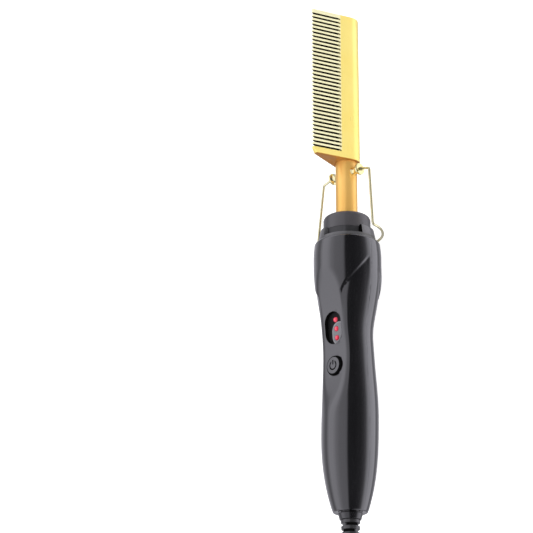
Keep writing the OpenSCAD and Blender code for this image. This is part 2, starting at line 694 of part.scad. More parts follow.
module plug_body() color("#1d1d20") plug_place() {
    difference() {
        union() {
            translate([0, -plug_w / 2 + plug_t / 2, -plug_t / 2])
                cube([plug_len, plug_w - plug_t, plug_t]);
            for (s = [-1, 1]) translate([0, s * (plug_w - plug_t) / 2, 0]) rotate([0, 90, 0])
                cylinder(h = plug_len, d = plug_t);
            translate([-plug_tail, 0, 0]) rotate([0, 90, 0])
                cylinder(h = plug_tail + 1, r1 = cord_r + 1.2, r2 = plug_t / 2 - 0.6);
        }
        for (s = [-1, 1]) translate([plug_len - pin_root, s * pin_span / 2, 0]) rotate([0, 90, 0])
            cylinder(h = pin_root + eps, r = pin_root_r + fit);
        translate([-plug_tail - eps, 0, 0]) rotate([0, 90, 0])
            cylinder(h = plug_tail + 4, r = cord_r + fit);
    }
}
module plug_pins() color("silver") plug_place() for (s = [-1, 1])
    translate([plug_len, s * pin_span / 2, 0]) rotate([0, 90, 0]) {
        cylinder(h = pin_len, d = pin_d);
        translate([0, 0, -pin_root]) cylinder(h = pin_root, r = pin_root_r);
    }

comb_head();
heater_rod();
temperature_sensor();
heater_leads();
sensor_lead();
comb_screw();
neck_tube();
neck_clip();
neck_bush();
stand_bosses();
wire_stand();
collar_cap();
collar_base();
front_shell();
rear_shell();
window_lens();
led_1();
led_2();
led_3();
power_button();
button_switch();
control_board();
triac();
capacitor();
controller_chip();
thermal_fuse();
board_screws();
shell_screws();
mains_leads();
contact_block();
contact_springs();
slip_rings();
swivel_body();
strain_relief();
power_cord();
cord_hank();
hank_tie();
plug_body();
plug_pins();
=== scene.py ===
"""Electric pressing comb: dressed model, materials, studio and camera."""

from math import acos, asin, atan2, cos, degrees, exp, hypot, pi, radians, sin, sqrt, tan

import bpy
from mathutils import Matrix, Vector


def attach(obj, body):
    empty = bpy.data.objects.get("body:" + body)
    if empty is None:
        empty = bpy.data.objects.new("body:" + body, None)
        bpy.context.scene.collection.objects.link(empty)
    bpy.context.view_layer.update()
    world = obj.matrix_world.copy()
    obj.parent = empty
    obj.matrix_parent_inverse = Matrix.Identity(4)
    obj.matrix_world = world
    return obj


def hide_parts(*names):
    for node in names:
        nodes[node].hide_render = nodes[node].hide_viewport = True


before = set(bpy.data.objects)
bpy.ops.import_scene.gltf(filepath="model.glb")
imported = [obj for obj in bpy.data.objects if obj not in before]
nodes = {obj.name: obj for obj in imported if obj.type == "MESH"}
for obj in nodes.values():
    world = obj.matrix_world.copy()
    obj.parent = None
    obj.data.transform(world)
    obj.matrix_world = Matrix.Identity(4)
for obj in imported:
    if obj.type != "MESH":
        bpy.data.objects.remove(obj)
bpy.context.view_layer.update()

# ---- Sizes in mm: x runs from the handle's tail face, z from the tool's axis to the teeth ----
MID = 130.0  # the x that lies over the origin
AXIS = 19.991  # height of the tool's axis over the surface
HANDLE = 153.2
WALL = 2.0
BELLY_R, WAIST_R, BULB_R = 15.65, 14.05, 19.0
BUTTON_X, BUTTON_HOLE_R = 80, 5.7
WINDOW_X, WINDOW_LENGTH, WINDOW_WIDTH = 101.5, 18.2, 12.6
SCREWS_X = (34, 58, 134)
CAP_FOOT, CAP_TOP, CAP_R = 159.7, 169.1, 13.3
PIVOT = 195.8
COMB, COMB_END = 202.0, 292.0
NECK_START, NECK_END, NECK_R, NECK_BORE_R = 140, 216, 6.15, 5.35
CORD_R = 3.0


def at(x, y=0.0, z=0.0):
    """A point of the tool in metres."""
    return Vector(((x - MID) / 1000, y / 1000, (z + AXIS) / 1000))


def mm(*values):
    return tuple(v / 1000 for v in values)


# ---- Camera ----
def place_camera():
    """Turned about the tool and lifted off the square view, by angles in degrees.
    The distance is in metres. Focal length, width and tool_u are in pixels of the frame."""
    turn, lift, roll = radians(41.967), radians(19.658), radians(-0.193)
    distance, focal, width, tool_u = 1.0479, 1871.7, 533.0, 347.445
    aimed_at, sensor = at(140), 36.0
    side = Vector((0, -sin(turn), -cos(turn)))
    look = Vector((sin(lift), cos(lift) * cos(turn), -cos(lift) * sin(turn)))
    rise = Vector((cos(lift), -sin(lift) * cos(turn), sin(lift) * sin(turn)))
    right = cos(roll) * side - sin(roll) * rise
    up = sin(roll) * side + cos(roll) * rise
    place = aimed_at - distance * look - (tool_u - width / 2) / focal * distance * right
    lens = bpy.data.cameras.new("camera")
    lens.sensor_width = sensor
    lens.lens = focal / width * sensor
    lens.clip_start, lens.clip_end = 0.05, 60.0
    camera = bpy.data.objects.new("camera", lens)
    bpy.context.scene.collection.objects.link(camera)
    turned_to = Matrix((right, up, -look)).transposed()
    camera.matrix_world = Matrix.Translation(place) @ turned_to.to_4x4()
    bpy.context.scene.camera = camera


place_camera()


# ---- Node trees: outputs that add, multiply and compare like numbers ----
class Value:
    def __init__(self, owner, socket):
        self.owner, self.socket = owner, socket

    def maths(self, operation, *values):
        return self.owner.node("Math", {"operation": operation}, *values)

    def __add__(self, other):
        return self.maths("ADD", self, other)

    def __sub__(self, other):
        return self.maths("SUBTRACT", self, other)

    def __rsub__(self, other):
        return self.maths("SUBTRACT", other, self)

    def __mul__(self, other):
        return self.maths("MULTIPLY", self, other)

    def __pow__(self, other):
        return self.maths("POWER", self, other)

    __radd__, __rmul__ = __add__, __mul__

    def about(self, swing):
        """A noise of 0 to 1, made to swing about nothing."""
        return (self - 0.5) * swing

    def ramp(self, low, high):
        """Goes from 0 to 1, smoothly, as the value goes from low to high."""
        return self.owner.node("MapRange", {"interpolation_type": "SMOOTHSTEP"}, self, low, high)


class Nodes:
    def __init__(self, tree):
        self.tree = tree

    def node(self, kind, settings, *inputs, out=0, **named):
        """Adds a node, sets or links its inputs by place or by name, and gives its output."""
        made = self.tree.nodes.new("ShaderNode" + kind)
        for key, value in settings.items():
            setattr(made, key, value)
        fed = dict(enumerate(inputs))
        fed.update((key.replace("_", " "), value) for key, value in named.items())
        for key, value in fed.items():
            if isinstance(value, Value):
                self.tree.links.new(value.socket, made.inputs[key])
            elif value is not None:
                made.inputs[key].default_value = value
        return Value(self, made.outputs[out])

    def swap(self, ray, other, shown):
        """Shows one shader to rays of the named kind, and the other one to the rest."""
        return self.node("MixShader", {}, self.node("LightPath", {}, out=ray), other, shown)

    def end(self, kind, value):
        self.tree.links.new(value.socket, self.tree.nodes[kind + " Output"].inputs[0])


FINISH = {}


class Shader(Nodes):
    """One finish: its node tree, and the surface that the nodes feed."""

    def __init__(self, name, **fixed):
        FINISH[name] = bpy.data.materials.new(name)
        FINISH[name].use_nodes = True
        super().__init__(FINISH[name].node_tree)
        self.surface = self.tree.nodes["Principled BSDF"]
        for socket, value in fixed.items():
            self.surface.inputs[socket.replace("_", " ")].default_value = value

    def place(self, stretch):
        spot = self.node("TexCoord", {}, out="Object")
        return self.node("Mapping", {}, spot, None, None, stretch)

    def grain(self, size, stretch=(1, 1, 1), detail=3.0, rough=0.5):
        """Soft noise from 0 to 1 whose patches are size metres across."""
        spots = self.place(tuple(s / size for s in stretch))
        return self.node("TexNoise", {}, Vector=spots, Scale=1.0, Detail=detail, Roughness=rough)

    def waves(self, direction, per_metre, *scale_and_blur):
        spots = self.place((per_metre, per_metre, per_metre))
        return self.node("TexWave", {"bands_direction": direction}, spots, *scale_and_blur)

    def split(self, axis):
        spot = self.node("TexCoord", {}, out="Object")
        return self.node("SeparateXYZ", {}, spot, out=axis)

    def along(self, axis, low, high):
        """Goes from 0 to 1 along an axis of the tool, between two places in tool mm."""
        i = "XYZ".index(axis)
        return self.split(axis).ramp(at(low, low, low)[i], at(high, high, high)[i])

    def mix(self, share, low, high):
        """From colour low to colour high."""
        low, high = (c if isinstance(c, Value) else (*c, 1.0) for c in (low, high))
        return self.node("Mix", {"data_type": "RGBA"}, share, *[None] * 5, low, high, out=2)

    def relief(self, height, depth, strength):
        return self.node("Bump", {}, strength, depth, Height=height)

    def feed(self, **fed):
        for socket, value in fed.items():
            self.tree.links.new(value.socket, self.surface.inputs[socket.replace("_", " ")])


def linear(r, g, b):
    """A colour as seen on a screen, 0 to 255, made linear."""
    return tuple(((c / 255 + 0.055) / 1.055) ** 2.4 if c > 10 else c / 255 / 12.92
                 for c in (r, g, b))


def times(colour, share, more=0.0):
    return tuple(c * share + more for c in colour)


# ---- Finishes ----
def gold(name, light, deep, rough, metal, drawn=(0.08, 1, 1), heel_shade=None, teeth=None):
    """Plated metal with fine drawn lines, soft cloudy tone and slight handling marks.
    The comb's heel end face is painted darker as painted shade, and its teeth are painted paler
    as a painted highlight."""
    s = Shader(name, Metallic=metal)
    lines = s.grain(0.0006, drawn, 1.0, 0.4)
    clouds = s.grain(0.018, detail=2.0)
    tone = s.mix(clouds.ramp(0.3, 0.7), linear(*deep), linear(*light))
    # Painted highlight: from the slot bottoms up, the teeth are painted paler to stand in for the
    # light their rounded faces catch.
    if teeth:
        teeth_highlight_share = s.along("Z", 8.4, 9.4) * s.along("X", 206, 207)
        tone = s.mix(teeth_highlight_share, tone, linear(*teeth))
    # Painted shade: the heel end face is painted a dark brown to stand in for the shade that
    # falls on it.
    if heel_shade:
        tone = s.mix(s.along("X", COMB + 0.05, COMB + 0.5), linear(*heel_shade), tone)
    s.feed(Base_Color=tone, Roughness=rough + lines.about(0.06) + clouds.about(0.08),
           Normal=s.relief(lines, 0.00001, 0.08))


def moulded(name, base, rough, coat=0.0, pits=0.0012):
    """Moulded plastic: faint orange peel, slightly uneven gloss and tone."""
    s = Shader(name, IOR=1.5, Specular_IOR_Level=0.5 + coat / 2, Coat_Weight=coat,
               Coat_Roughness=0.05)
    peel, clouds, fine = s.grain(pits, detail=2.0), s.grain(0.02), s.grain(0.0003, detail=4.0)
    s.feed(Base_Color=s.mix(clouds.ramp(0.3, 0.7), times(base, 0.8), base),
           Roughness=rough + clouds.about(0.06) + fine.about(0.04),
           Normal=s.relief(peel, 0.00002, 0.3))


def pit(name, base):
    """Painted shade for the inside of a slot, a gap or a pressed mark: near-black, matte and
    nearly without shine.
    """
    s = Shader(name, Specular_IOR_Level=0.1)
    dust = s.grain(0.0008)
    s.feed(Base_Color=s.mix(dust, base, times(base, 1.8)), Roughness=0.75 + dust * 0.2)


def plain_metal(name, base, rough, stretch=(1, 1, 1)):
    s = Shader(name, Metallic=1.0)
    fine, clouds = s.grain(0.0004, stretch, 4.0), s.grain(0.006, detail=2.0)
    s.feed(Base_Color=s.mix(clouds.ramp(0.35, 0.65), times(base, 0.75), base),
           Roughness=rough + fine.about(0.15), Normal=s.relief(fine, 0.00001, 0.3))


def cord_rubber(name, base, rough):
    s = Shader(name)
    fine, dust = s.grain(0.0006, detail=4.0), s.grain(0.01, detail=4.0)
    s.feed(Base_Color=s.mix(dust.ramp(0.5, 0.8), base, times(base, 1.6, 0.004)),
           Roughness=rough + fine.about(0.12), Normal=s.relief(fine, 0.00003, 0.4))


def woven(name, base):
    """Hook-and-loop strap: a fine plain weave with a fuzzy, duller face."""
    s = Shader(name, Sheen_Weight=0.3)
    warp, weft = s.waves("X", 700, 1.0, 0.4), s.waves("Y", 700, 1.0, 0.4)
    fuzz = s.grain(0.0004, detail=5.0)
    s.feed(Base_Color=s.mix(fuzz.ramp(0.4, 0.8), base, times(base, 2.2, 0.01)),
           Roughness=0.8 + fuzz.about(0.2), Normal=s.relief(warp * weft + fuzz, 0.0001, 0.6))


def lamp_red(name):
    """A lit lamp: clear red body, hot spot at its crown."""
    s = Shader(name, IOR=1.5, Coat_Weight=1.0, Coat_Roughness=0.05, Emission_Strength=0.3)
    crown, spots = s.along("Z", 8.6, 10.2), s.grain(0.0008, detail=2.0)
    glow = s.mix(crown * (0.7 + 0.6 * spots), linear(200, 25, 60), linear(255, 120, 135))
    s.feed(Base_Color=s.mix(spots, linear(190, 25, 55), linear(225, 50, 80)),
           Emission_Color=glow, Roughness=0.12 + spots * 0.1)


def lamp_plate(name, base):
    """The clear plate over the lamps: a grey oval with a pale rim that is a painted highlight,
    and near-black painted shade round it, off-centre, where the recess shades the plate.
    """
    s = Shader(name, IOR=1.5, Coat_Roughness=0.04)
    haze = s.grain(0.002)
    middle, straight = at(98.6, -1.8), 0.0013
    along, across = s.split("X") - middle.x, s.split("Y") - middle.y
    beyond = along.maths("ABSOLUTE", along) - straight
    beyond = beyond.maths("MAXIMUM", beyond, 0.0)
    out = (beyond * beyond + across * across) ** 0.5
    # Painted highlight: a pale band at the oval's edge. Painted shade: outside the oval the plate
    # is near-black and has no coat, standing in for the recess wall's shadow.
    cup = s.mix(out.ramp(0.0044, 0.0049), s.mix(haze, base, times(base, 1.3)), times(base, 2.2))
    painted_shade = out.ramp(0.0050, 0.0054)
    s.feed(Base_Color=s.mix(painted_shade, cup, (0.002, 0.002, 0.002)), Coat_Weight=1.0 - painted_shade,
           Roughness=0.12 + haze * 0.1 + painted_shade * 0.6)


def circuit_green(name):
    s = Shader(name)
    lanes, fine = s.waves("Y", 260, 1.0, 2.0, 2.0), s.grain(0.001)
    s.feed(Base_Color=s.mix(lanes.ramp(0.55, 0.65), (0.01, 0.07, 0.03), (0.02, 0.14, 0.05)),
           Roughness=0.35 + fine * 0.1, Normal=s.relief(lanes, 0.00003, 0.4))


# The comb's heel colour is painted shade, and its paler teeth colour is a painted highlight.
gold("gold_comb", (255, 233, 137), (255, 230, 129), 0.3, 0.34, heel_shade=(184, 124, 52),
     teeth=(255, 249, 205))
gold("gold_neck", (255, 205, 116), (250, 196, 105), 0.34, 0.56, drawn=(1, 0.1, 0.1))
gold("gold_wire", (236, 230, 190), (220, 212, 168), 0.16, 0.85)
gold("gold_boss", (253, 244, 190), (246, 232, 170), 0.14, 0.95)
# Near-black painted shade, put on slot walls and bottoms, gaps, hole walls and grooves where
# shadow falls.
for finish in (("slot_dark", (0.005, 0.003, 0.001)),
               ("pit_black", (0.0015, 0.0015, 0.0015)),
               ("symbol_black", (0.002, 0.002, 0.002))):
    pit(*finish)
for finish in (("gloss_black", (0.0055, 0.0055, 0.0065), 0.10, 1.0),
               ("collar_black", (0.053, 0.050, 0.055), 0.36, 0.3),
               ("ring_black", (0.078, 0.077, 0.082), 0.32, 0.5),
               # recess_black is a darker copy of ring_black: painted shade for the floors of the
               # lock recesses.
               ("recess_black", (0.024, 0.024, 0.026), 0.4),
               ("button_black", (0.010, 0.010, 0.0115), 0.14, 1.0),
               ("bush_ivory", (0.72, 0.66, 0.54), 0.5),
               ("switch_black", (0.02, 0.02, 0.02), 0.5),
               ("package_black", (0.03, 0.03, 0.032), 0.45),
               ("capacitor_blue", (0.02, 0.05, 0.3), 0.3),
               ("fuse_tan", (0.5, 0.38, 0.22), 0.5),
               ("lead_white", (0.7, 0.66, 0.56), 0.6, 0.0, 0.0005),
               ("lead_brown", (0.12, 0.05, 0.02), 0.45),
               ("lead_orange", (0.7, 0.25, 0.04), 0.5),
               ("sensor_bead", (0.2, 0.06, 0.02), 0.2),
               ("swivel_black", (0.005, 0.005, 0.006), 0.2, 0.6),
               ("relief_rubber", (0.022, 0.022, 0.024), 0.32, 0.5)):
    moulded(*finish)
for finish in (("screw_steel", (0.42, 0.43, 0.45), 0.35),
               ("heater_steel", (0.55, 0.56, 0.58), 0.3, (0.05, 1, 1)),
               ("pin_nickel", (0.72, 0.71, 0.68), 0.18, (0.05, 1, 1)),
               ("spring_brass", (0.72, 0.5, 0.2), 0.3)):
    plain_metal(*finish)
cord_rubber("cord_black", (0.014, 0.014, 0.015), 0.48)
cord_rubber("plug_black", (0.02, 0.02, 0.022), 0.45)
woven("strap_black", (0.012, 0.012, 0.014))
lamp_plate("lens_smoke", (0.12, 0.12, 0.13))
lamp_red("led_red")
circuit_green("board_green")

# ---- CAD nodes that keep their shape, under the finish that they get ----
KEPT_NODES = {
    "heater_steel": ["heater_rod"], "sensor_bead": ["temperature_sensor"],
    "lead_white": ["heater_leads"], "lead_orange": ["sensor_lead"], "lead_brown": ["mains_leads"],
    "screw_steel": ["comb_screw", "neck_clip", "board_screws", "shell_screws"],
    "bush_ivory": ["neck_bush", "contact_block"], "lens_smoke": ["window_lens"],
    "led_red": ["led_1", "led_2", "led_3"], "switch_black": ["button_switch"],
    "board_green": ["control_board"], "package_black": ["triac", "controller_chip"],
    "capacitor_blue": ["capacitor"], "fuse_tan": ["thermal_fuse"],
    "spring_brass": ["contact_springs", "slip_rings"]}
for finish, names in KEPT_NODES.items():
    for name in names:
        nodes[name].data.materials.clear()
        nodes[name].data.materials.append(FINISH[finish])


# ---- Modelling helpers ----
def in_mode(mode):
    bpy.ops.object.mode_set(mode=mode)


def nothing_selected():
    if bpy.context.object and bpy.context.object.mode != "OBJECT":
        in_mode("OBJECT")
    bpy.ops.object.select_all(action="DESELECT")


def only(piece):
    nothing_selected()
    bpy.context.view_layer.objects.active = piece
    piece.select_set(True)
    return piece


def edit(piece):
    only(piece)
    in_mode("EDIT")
    bpy.ops.mesh.select_all(action="SELECT")


def edit_points(piece, chosen):
    """Edit mode with only the chosen points selected."""
    edit(piece)
    bpy.ops.mesh.select_all(action="DESELECT")
    in_mode("OBJECT")
    for v in piece.data.vertices:
        v.select = chosen(v)
    in_mode("EDIT")


def settle(piece):
    """Puts the piece's place into its mesh."""
    only(piece)
    bpy.ops.object.transform_apply(location=True, rotation=True, scale=True)
    return piece


def outwards(piece, join=0.000004):
    """Closes seams and poles, and points the faces outwards."""
    edit(piece)
    bpy.ops.mesh.remove_doubles(threshold=join)
    bpy.ops.mesh.normals_make_consistent(inside=False)
    in_mode("OBJECT")
    return piece


def smooth(piece, angle=40):
    only(piece)
    bpy.ops.object.shade_smooth_by_angle(angle=radians(angle))
    return piece


def modify(piece, kind, **settings):
    only(piece)
    made = piece.modifiers.new(kind.lower(), kind)
    for key, value in settings.items():
        setattr(made, key, value)
    bpy.ops.object.modifier_apply(modifier=made.name)
    return piece


def rounded(piece, width, segments=2, angle=40):
    """Rounds every edge sharper than angle, width in mm."""
    return modify(piece, "BEVEL", width=width / 1000, segments=segments, limit_method="ANGLE",
                  angle_limit=radians(angle), harden_normals=False, use_clamp_overlap=True)


def cut(piece, tool, operation="DIFFERENCE"):
    modify(piece, "BOOLEAN", operation=operation, object=tool, solver="EXACT")
    bpy.data.objects.remove(tool)
    return piece


def dressed(piece, name, body, finish, slot, *stands_for):
    """Names a piece, and gives it its finish, its body and the nodes it stands for. Its slot is
    not used.
    """
    piece.name = piece.data.name = name
    piece.data.materials.clear()
    piece.data.materials.append(FINISH[finish])
    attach(piece, body)
    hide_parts(*stands_for)
    return piece


def paint(piece, finish, chosen):
    """Gives the finish to the faces that are chosen by their middle, in tool mm, and normal."""
    piece.data.materials.append(FINISH[finish])
    for face in piece.data.polygons:
        if chosen(*((face.center - at(0)) * 1000), face.normal):
            face.material_index = len(piece.data.materials) - 1


def circle(sides, radius, place, rotation=(0, pi / 2, 0)):
    """A ring of points across the tool, radius in mm."""
    nothing_selected()
    bpy.ops.mesh.primitive_circle_add(vertices=sides, radius=radius / 1000, location=place,
                                      rotation=rotation)
    return settle(bpy.context.object)


def draw_out(x, y=0, z=0):
    """Extrudes what is selected, by mm."""
    bpy.ops.mesh.extrude_region_move(TRANSFORM_OT_translate={"value": mm(x, y, z)})


def turned(profile, sides=96, centre=at(0)):
    """A solid turned about the tool's axis: a ring drawn out from station to station.
    The profile is (x, radius) in mm; a closed one ends where it starts."""
    tiny = 0.002
    x, r = profile[0]
    piece = circle(sides, max(r, tiny), centre + Vector(mm(x, 0, 0)))
    edit(piece)
    for (xa, ra), (xb, rb) in zip(profile, profile[1:]):
        grow = max(rb, tiny) / max(ra, tiny)
        draw_out(xb - xa)
        bpy.ops.transform.resize(value=(1, grow, grow),
                                 center_override=centre + Vector(mm(xb, 0, 0)))
    return outwards(piece)


def arc(cx, cr, r, start, end, count=6):
    """Points of a rounding in a profile, from start to end in degrees."""
    steps = [radians(start + (end - start) * i / count) for i in range(count + 1)]
    return [(cx + r * cos(a), cr + r * sin(a)) for a in steps]


def swung(piece, centre, turn):
    """Turns the mesh about a point by a 4x4 rotation."""
    piece.data.transform(Matrix.Translation(centre) @ turn @ Matrix.Translation(-centre))
    return piece


def stood_up(piece, centre, axis):
    """Turns a piece made along +X about centre so that it points along axis."""
    quarter = Vector((1, 0, 0)).rotation_difference(Vector(axis)).to_matrix().to_4x4()
    return swung(piece, centre, quarter)


def rolled(piece, angle):
    """Turns a piece about the tool's axis, by degrees."""
    return swung(piece, at(0), Matrix.Rotation(radians(angle), 4, "X"))


def block(low, high):
    """A box between two corners, in tool mm."""
    nothing_selected()
    a, b = at(*low), at(*high)
    bpy.ops.mesh.primitive_cube_add(size=1, location=(a + b) / 2)
    piece = bpy.context.object
    piece.scale = b - a
    return settle(piece)


def joined(pieces):
    nothing_selected()
    bpy.context.view_layer.objects.active = pieces[0]
    for p in pieces:
        p.select_set(True)
    bpy.ops.object.join()
    return bpy.context.object


def tube(name, points, radius, sides, kind, steps=12):
    """A round tube along points in tool mm, as a curve with closed ends."""
    curve = bpy.data.curves.new(name, "CURVE")
    curve.dimensions = "3D"
    curve.bevel_depth = radius / 1000
    curve.bevel_resolution = sides
    curve.resolution_u = steps
    curve.use_fill_caps = True
    line = curve.splines.new(kind)
    line.points.add(len(points) - 1)
    for spot, p in zip(line.points, points):
        spot.co = (*at(*p), 1)
    piece = bpy.data.objects.new(name, curve)
    bpy.context.scene.collection.objects.link(piece)
    return piece


def eased(t):
    return (1 - cos(pi * max(0.0, min(1.0, t)))) / 2


# ---- Cord: its route, the hank it is wound into, the strap and the plug ----
CORD_ROUTE = [(-26, 0, 0), (-32, 0, 0), (-40, 0.3, -0.7), (-48, 1.4, -3), (-56, 3.5, -6.8),
              (-64, 6.4, -10.8), (-72, 9.8, -14), (-80, 13, -15.9), (-87, 15.6, -16.28),
              (-95, 17.8, -16.28)]
CORD_TAIL = [(-230, 18.6, 8.4), (-238, 18.3, 7.6), (-246, 17.2, 5.2), (-254, 15.2, 1.2),
             (-262, 12.4, -4.2), (-269, 9.6, -8.6), (-276, 7, -11.6), (-283, 5, -12.9),
             (-290, 4.1, -13.14), (-298, 4, -13.14), (-305.5, 4, -13.14)]
CORD_EXIT_X, CORD_LENGTH = -32, 1.8
NEAR_FOLD, FAR_FOLD, FOLD_R = -102, -222, 18.6
LAYERS = [-16.28, -10.08, -3.88, 2.32, 8.52]
STRAP_X, STRAP_MIDDLE_Z, STRAP_HALF_LENGTH = -162, 16.2 - AXIS, 7
STRAP_HALF_W, STRAP_HALF_H, STRAP_CORNER, STRAP_THICK = 21.8, 15.6, 3.2, 0.5
PLUG_X, PLUG_Y, PLUG_LENGTH = -303.5, 4, 34
PLUG_HALF_W, PLUG_HALF_H, PLUG_CORNER = 17.5, 6.85, 3.0
PIN_R, PIN_APART, PIN_LENGTH = 2.0, 18.6, 19
PLUG_STATIONS = [0, 0.2, 0.7, 1.5, 3, 4.5, 6, 8, 10, 12.5, 15, 17.5, 20, 22.5, 25, 27.5, 30, 32,
                 32.8, 33.5, 33.9, PLUG_LENGTH]


def cord_points():
    """Down to the surface, four turns of the hank and half a turn on top, then to the plug."""
    points = list(CORD_ROUTE)

    def run(x0, x1, y, z0, z1, count=12):
        for i in range(count):
            t = (i + 0.5) / count
            points.append((x0 + (x1 - x0) * t, y, z0 + (z1 - z0) * eased(t)))

    def fold(x, start, z, count=12):
        for i in range(count + 1):
            a = radians(start + 180 * i / count)
            points.append((x + FOLD_R * cos(a), FOLD_R * sin(a), z))

    for low, high in zip(LAYERS, LAYERS[1:]):
        run(NEAR_FOLD, FAR_FOLD, FOLD_R, low, low)
        fold(FAR_FOLD, 90, low)
        run(FAR_FOLD, NEAR_FOLD, -FOLD_R, low, high)
        fold(NEAR_FOLD, -90, high)
    run(NEAR_FOLD, FAR_FOLD, FOLD_R, LAYERS[-1], LAYERS[-1])
    return points + CORD_TAIL


def make_cord():
    cord = tube("mains_cord", cord_points(), CORD_R, 4, "NURBS", 3)
    line = cord.data.splines[0]
    line.order_u = 4
    line.use_endpoint_u = True
    return dressed(cord, "mains_cord", "tool", "cord_black", "black_rubber", "power_cord",
                   "cord_hank")


def round_box(x, y, z, half_w, half_h, corner):
    """An open ring across the tool: a box outline with round corners of seven points."""
    ring = circle(28, 30, at(x, y, z))
    corners = ((1, 1, 0), (-1, 1, 90), (-1, -1, 180), (1, -1, 270))
    for i, vertex in enumerate(ring.data.vertices):
        side, up, start = corners[i // 7]
        a = radians(start + 15 * (i % 7))
        vertex.co = at(x, y + side * (half_w - corner) + corner * cos(a),
                       z + up * (half_h - corner) + corner * sin(a))
    return ring


def make_strap():
    """The strap round the hank, with its overlapping end."""
    strap = round_box(STRAP_X - STRAP_HALF_LENGTH, 0, STRAP_MIDDLE_Z, STRAP_HALF_W,
                      STRAP_HALF_H, STRAP_CORNER)
    edit(strap)
    draw_out(2 * STRAP_HALF_LENGTH)
    in_mode("OBJECT")
    outwards(strap)
    modify(strap, "SOLIDIFY", thickness=STRAP_THICK / 1000, offset=1.0, use_even_offset=True)
    top = STRAP_MIDDLE_Z + STRAP_HALF_H + STRAP_THICK
    tab = block((STRAP_X - 6.7, -15, top - 0.05), (STRAP_X + 6.7, 16, top + 0.4))
    strap = joined([strap, rounded(tab, 0.2)])
    return dressed(smooth(strap), "cord_strap", "tool", "strap_black", "tie_strap", "hank_tie")


def round_end(from_end, r):
    """How far an end rounded by r has drawn in, this far from its face."""
    t = max(0.0, 1 - from_end / r)
    return r * (1 - sqrt(1 - t * t))


def plug_girth(x):
    """Half width and half height of the plug's body, x from its cord end."""
    ends = round_end(x, 3.0) * 0.75 + round_end(PLUG_LENGTH - x, 1.4) * 0.75
    pulled_in = 1 - 0.11 * sin(pi * min(1, max(0, (x - 5) / 25))) ** 2
    wide = PLUG_HALF_W * pulled_in * (1 - 0.3 * max(0, 1 - x / 11) ** 2)
    high = PLUG_HALF_H * (1 - 0.1 * max(0, 1 - x / 8) ** 2)
    return wide - ends, high - ends


def make_plug():
    """A flat two-pin plug: grip body with pulled-in sides, ribbed tail, round-ended pins."""
    foot = (PLUG_X, PLUG_Y, PLUG_HALF_H - AXIS)
    centre = at(*foot)
    body = round_box(*foot, *plug_girth(0), PLUG_CORNER)
    edit(body)
    for near, far in zip(PLUG_STATIONS, PLUG_STATIONS[1:]):
        (wa, ha), (wb, hb) = plug_girth(near), plug_girth(far)
        draw_out(far - near)
        bpy.ops.transform.resize(value=(1, wb / wa, hb / ha),
                                 center_override=centre + Vector(mm(far, 0, 0)))
    bpy.ops.mesh.edge_face_add()
    edit_points(body, lambda v: abs(v.co.x - centre.x) < 0.00001)
    bpy.ops.mesh.edge_face_add()
    in_mode("OBJECT")
    outwards(body)
    tail = [(-14, 0), (-14, 3.9)] + arc(-13.6, 3.9, 0.4, 180, 90, 3)
    for k in range(4):
        x, r = -12.6 + 3.2 * k, 4.4 + 0.33 * k
        tail += [(x, r), (x + 1.6, r + 0.15), (x + 1.7, r - 0.9), (x + 2.9, r - 0.8)]
    tail += [(0.4, 5.9), (2, 5.9), (2, 0)]
    body = joined([body, turned(tail, 48, centre)])
    straight = PIN_LENGTH - PIN_R
    pin = [(-6, 0), (-6, PIN_R), (straight + 0.4, PIN_R)] + arc(straight, 0.0, PIN_R, 80, 0, 5)
    pins = joined([turned(pin, 32, centre + Vector(mm(PLUG_LENGTH, side * PIN_APART / 2, 0)))
                   for side in (-1, 1)])
    half_turn = Matrix.Rotation(pi, 4, "Z")
    for piece in (body, pins):
        smooth(swung(piece, centre, half_turn), 50)
    return [dressed(body, "plug_moulding", "tool", "plug_black", "black_rubber", "plug_body"),
            dressed(pins, "plug_contacts", "tool", "pin_nickel", "pin_nickel", "plug_pins")]


cord = make_cord()
strap = make_strap()
tuple(at(CORD_EXIT_X))
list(make_plug())


# ---- Handle ----
def handle_r(x):
    """Radius of the handle: tail, belly, waist, bulb and shoulder run into each other."""
    belly, waist, bulb, shoulder = 48, 96, 136, 143
    if x < belly:
        return BELLY_R - 6.25 * (1 - max(x, 0.0) / belly) ** 2.55
    if x < waist:
        return BELLY_R - (BELLY_R - WAIST_R) * eased((x - belly) / (waist - belly))
    if x < bulb:
        return WAIST_R + (BULB_R - WAIST_R) * eased((x - waist) / (bulb - waist))
    if x < shoulder:
        return BULB_R
    return BULB_R - 0.75 * ((x - shoulder) / (HANDLE - shoulder)) ** 2


def sway(x):
    """How far the handle's middle lies towards its back, a slight S."""
    return sum(far * exp(-((x - middle) / spread) ** 2)
               for far, middle, spread in ((0.78, 62, 20), (-0.6, 101, 9), (0.2, 130, 5)))


def front_z(x):
    """Height of the scooped face that carries the button and the window."""
    scoop_x, scoop_r, lowest, beyond, outside = 90, 110, 10.5, 60, 40.0
    if abs(x - scoop_x) >= beyond:
        return outside
    return lowest + scoop_r - sqrt(scoop_r ** 2 - (x - scoop_x) ** 2)


def soft_min(a, b, soft):
    near = max(soft - abs(a - b), 0) / soft
    return min(a, b) - near * near * soft / 4


def crease(x, aside, back):
    """Step of the bulb's shell over the grip; aside is the angle from the handle's flank."""
    line = 142.7 - 0.371 * min(aside, 58)
    depth = (0.35 + 0.7 * min(1, aside / 52)) * (1 - eased((aside - 54) / 8))
    depth *= eased((aside - 14) / 22) if back else eased((aside - 1) / 10)
    below, lip = line - x, 0.6
    if below < -lip:
        return 0.0
    return depth * eased(below + lip) * exp(-max(below, 0) / 9)


